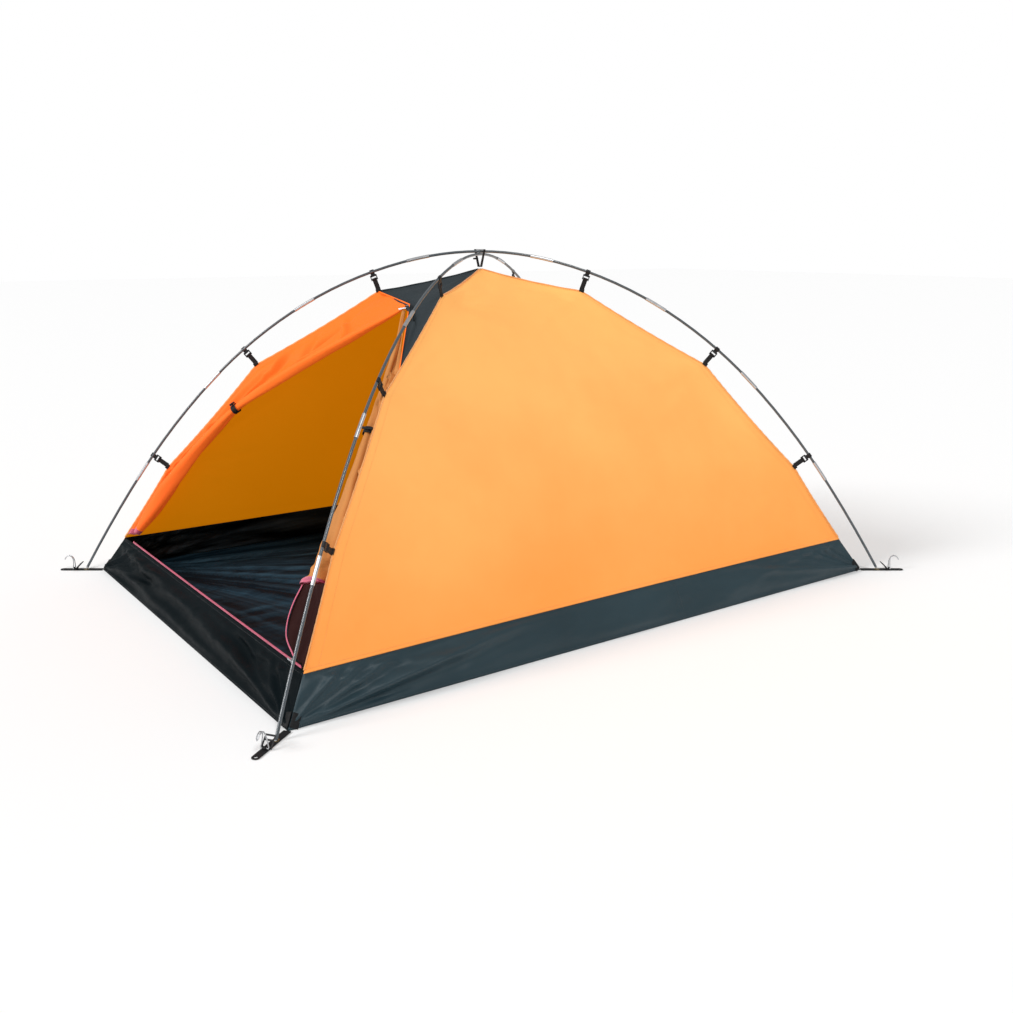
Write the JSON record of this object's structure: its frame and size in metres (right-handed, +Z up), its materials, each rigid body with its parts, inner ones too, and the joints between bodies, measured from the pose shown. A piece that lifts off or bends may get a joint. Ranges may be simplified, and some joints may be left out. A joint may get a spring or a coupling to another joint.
{
  "type": "tent on poles",
  "caption": "Dome tent inner hung by clips from two crossed arched poles, with a bathtub floor and a rolled-back door on one short end.",
  "frame": {"origin": "middle of the floor, on the ground", "axes": "+X towards the foot end, door at -X; +Y to the left as seen from outside the door; +Z up"},
  "size_m": [2.3936, 1.7202, 1.0887],
  "materials": {
    "floor_cloth": "coated nylon, satin",
    "tub_cloth": "coated polyester, satin",
    "canopy_cloth": "fine plain-weave polyester",
    "mesh": "fine insect netting",
    "flap_cloth": "fine plain-weave polyester",
    "piping": "folded binding tape",
    "zip_tape": "woven zip tape with a nylon coil",
    "pole_fibreglass": "wound fibreglass, lacquered",
    "bright_metal": "plated, bright",
    "shock_cord": "braided cover",
    "webbing": "woven nylon",
    "black_plastic": "moulded acetal",
    "eyelet_brass": "dulled brass"
  },
  "bodies": {
    "cabin": {"floor_sheet": "floor_cloth", "tub_door_wall": "tub_cloth", "tub_foot_wall": "tub_cloth", "tub_left_wall": "tub_cloth", "tub_right_wall": "tub_cloth", "canopy_left_wall": "canopy_cloth", "canopy_right_wall": "canopy_cloth", "canopy_foot_wall": "canopy_cloth", "vent_mesh": "mesh", "door_flap_left": "flap_cloth", "door_flap_right": "flap_cloth", "ridge_piping": "piping", "sill_zip": "zip_tape", "door_zip_right": "zip_tape", "pole_a_sections": "pole_fibreglass", "pole_a_ferrules": "bright_metal", "pole_a_shock_cord": "shock_cord", "pole_b_sections": "pole_fibreglass", "pole_b_ferrules": "bright_metal", "pole_b_shock_cord": "shock_cord", "pole_tips": "bright_metal", "clip_straps": "webbing", "apex_loop": "webbing", "corner_webbing": "webbing", "corner_eyelets": "eyelet_brass", "door_tie_left": "webbing", "door_tie_right": "webbing", "top_slider": "bright_metal"},
    "clip_front_right_upper": {"clip_front_right_upper": "black_plastic"},
    "clip_front_right_middle": {"clip_front_right_middle": "black_plastic"},
    "clip_front_right_lower": {"clip_front_right_lower": "black_plastic"},
    "clip_front_left_upper": {"clip_front_left_upper": "black_plastic"},
    "clip_front_left_middle": {"clip_front_left_middle": "black_plastic"},
    "clip_front_left_lower": {"clip_front_left_lower": "black_plastic"},
    "clip_rear_right_upper": {"clip_rear_right_upper": "black_plastic"},
    "clip_rear_right_middle": {"clip_rear_right_middle": "black_plastic"},
    "clip_rear_right_lower": {"clip_rear_right_lower": "black_plastic"},
    "clip_rear_left_upper": {"clip_rear_left_upper": "black_plastic"},
    "clip_rear_left_middle": {"clip_rear_left_middle": "black_plastic"},
    "clip_rear_left_lower": {"clip_rear_left_lower": "black_plastic"},
    "buckle_front_right": {"buckle_front_right": "black_plastic"},
    "fly_hook_front_right": {"fly_hook_front_right": "bright_metal"},
    "buckle_front_left": {"buckle_front_left": "black_plastic"},
    "fly_hook_front_left": {"fly_hook_front_left": "bright_metal"},
    "buckle_rear_right": {"buckle_rear_right": "black_plastic"},
    "fly_hook_rear_right": {"fly_hook_rear_right": "bright_metal"},
    "buckle_rear_left": {"buckle_rear_left": "black_plastic"},
    "fly_hook_rear_left": {"fly_hook_rear_left": "bright_metal"},
    "apex_toggle": {"apex_toggle": "black_plastic"},
    "tie_toggle_left": {"tie_toggle_left": "black_plastic"},
    "tie_toggle_right": {"tie_toggle_right": "black_plastic"},
    "sill_slider": {"sill_slider": "bright_metal"},
    "sill_pull": {"sill_pull": "bright_metal"},
    "top_pull": {"top_pull": "bright_metal"}
  },
  "joints": [
    {"name": "clip_front_right_upper_unhook", "type": "hinge", "parent": "cabin", "child": "clip_front_right_upper", "pos_m": [-0.27961, -0.20028, 0.98426], "axis": [0.7668, 0.5492, 0.3323], "range_deg": [0, 110]},
    {"name": "clip_front_right_middle_unhook", "type": "hinge", "parent": "cabin", "child": "clip_front_right_middle", "pos_m": [-0.62513, -0.44777, 0.73836], "axis": [0.6236, 0.4467, 0.6416], "range_deg": [0, 110]},
    {"name": "clip_front_right_lower_unhook", "type": "hinge", "parent": "cabin", "child": "clip_front_right_lower", "pos_m": [-0.89033, -0.63773, 0.3842], "axis": [0.4872, 0.349, 0.8005], "range_deg": [0, 110]},
    {"name": "clip_front_left_upper_unhook", "type": "hinge", "parent": "cabin", "child": "clip_front_left_upper", "pos_m": [-0.27961, 0.20028, 0.99306], "axis": [-0.7668, 0.5492, -0.3323], "range_deg": [0, 110]},
    {"name": "clip_front_left_middle_unhook", "type": "hinge", "parent": "cabin", "child": "clip_front_left_middle", "pos_m": [-0.62513, 0.44777, 0.74716], "axis": [-0.6236, 0.4467, -0.6416], "range_deg": [0, 110]},
    {"name": "clip_front_left_lower_unhook", "type": "hinge", "parent": "cabin", "child": "clip_front_left_lower", "pos_m": [-0.89033, 0.63773, 0.393], "axis": [-0.4872, 0.349, -0.8005], "range_deg": [0, 110]},
    {"name": "clip_rear_right_upper_unhook", "type": "hinge", "parent": "cabin", "child": "clip_rear_right_upper", "pos_m": [0.27961, -0.20028, 0.99306], "axis": [0.7668, -0.5492, -0.3323], "range_deg": [0, 110]},
    {"name": "clip_rear_right_middle_unhook", "type": "hinge", "parent": "cabin", "child": "clip_rear_right_middle", "pos_m": [0.62513, -0.44777, 0.74716], "axis": [0.6236, -0.4467, -0.6416], "range_deg": [0, 110]},
    {"name": "clip_rear_right_lower_unhook", "type": "hinge", "parent": "cabin", "child": "clip_rear_right_lower", "pos_m": [0.89033, -0.63773, 0.393], "axis": [0.4872, -0.349, -0.8005], "range_deg": [0, 110]},
    {"name": "clip_rear_left_upper_unhook", "type": "hinge", "parent": "cabin", "child": "clip_rear_left_upper", "pos_m": [0.27961, 0.20028, 0.98426], "axis": [-0.7668, -0.5492, 0.3323], "range_deg": [0, 110]},
    {"name": "clip_rear_left_middle_unhook", "type": "hinge", "parent": "cabin", "child": "clip_rear_left_middle", "pos_m": [0.62513, 0.44777, 0.73836], "axis": [-0.6236, -0.4467, 0.6416], "range_deg": [0, 110]},
    {"name": "clip_rear_left_lower_unhook", "type": "hinge", "parent": "cabin", "child": "clip_rear_left_lower", "pos_m": [0.89033, 0.63773, 0.3842], "axis": [-0.4872, -0.349, 0.8005], "range_deg": [0, 110]},
    {"name": "buckle_front_right_tilt", "type": "hinge", "parent": "cabin", "child": "buckle_front_right", "pos_m": [-1.14979, -0.82357, 0.0056], "axis": [0.5823, -0.813, 0], "range_deg": [-42, 15]},
    {"name": "fly_hook_front_right_swing", "type": "hinge", "parent": "cabin", "child": "fly_hook_front_right", "pos_m": [-1.1563, -0.82823, 0.0063], "axis": [0.5823, -0.813, 0], "range_deg": [-20, 40]},
    {"name": "buckle_front_left_tilt", "type": "hinge", "parent": "cabin", "child": "buckle_front_left", "pos_m": [-1.14979, 0.82357, 0.0056], "axis": [-0.5823, -0.813, 0], "range_deg": [-42, 15]},
    {"name": "fly_hook_front_left_swing", "type": "hinge", "parent": "cabin", "child": "fly_hook_front_left", "pos_m": [-1.1563, 0.82823, 0.0063], "axis": [-0.5823, -0.813, 0], "range_deg": [-20, 40]},
    {"name": "buckle_rear_right_tilt", "type": "hinge", "parent": "cabin", "child": "buckle_rear_right", "pos_m": [1.14979, -0.82357, 0.0056], "axis": [0.5823, 0.813, 0], "range_deg": [-42, 15]},
    {"name": "fly_hook_rear_right_swing", "type": "hinge", "parent": "cabin", "child": "fly_hook_rear_right", "pos_m": [1.1563, -0.82823, 0.0063], "axis": [0.5823, 0.813, 0], "range_deg": [-20, 40]},
    {"name": "buckle_rear_left_tilt", "type": "hinge", "parent": "cabin", "child": "buckle_rear_left", "pos_m": [1.14979, 0.82357, 0.0056], "axis": [-0.5823, 0.813, 0], "range_deg": [-42, 15]},
    {"name": "fly_hook_rear_left_swing", "type": "hinge", "parent": "cabin", "child": "fly_hook_rear_left", "pos_m": [1.1563, 0.82823, 0.0063], "axis": [-0.5823, 0.813, 0], "range_deg": [-20, 40]},
    {"name": "apex_toggle_swivel", "type": "hinge", "parent": "cabin", "child": "apex_toggle", "pos_m": [-0.00571, 0.01568, 1.05799], "axis": [-0.3323, 0.913, -0.2366], "range_deg": [-90, 90]},
    {"name": "tie_toggle_left_swivel", "type": "hinge", "parent": "cabin", "child": "tie_toggle_left", "pos_m": [-0.70931, 0.40616, 0.59611], "axis": [-0.4748, 0.3142, 0.8221], "range_deg": [-90, 90]},
    {"name": "tie_toggle_right_swivel", "type": "hinge", "parent": "cabin", "child": "tie_toggle_right", "pos_m": [-0.67374, -0.45875, 0.6346], "axis": [-0.5435, -0.4978, 0.6759], "range_deg": [-90, 90]},
    {"name": "sill_slider_travel", "type": "slide", "parent": "cabin", "child": "sill_slider", "axis": [0, 1, 0], "range_m": [0, 1.24]},
    {"name": "sill_pull_flip", "type": "hinge", "parent": "sill_slider", "child": "sill_pull", "pos_m": [-1.01071, -0.665, 0.126], "axis": [0, 0, 1], "range_deg": [0, 175]},
    {"name": "top_pull_flip", "type": "hinge", "parent": "cabin", "child": "top_pull", "pos_m": [-0.32261, -0.07014, 0.9156], "axis": [0, 0.6428, 0.766], "range_deg": [-8, 100]}
  ]
}
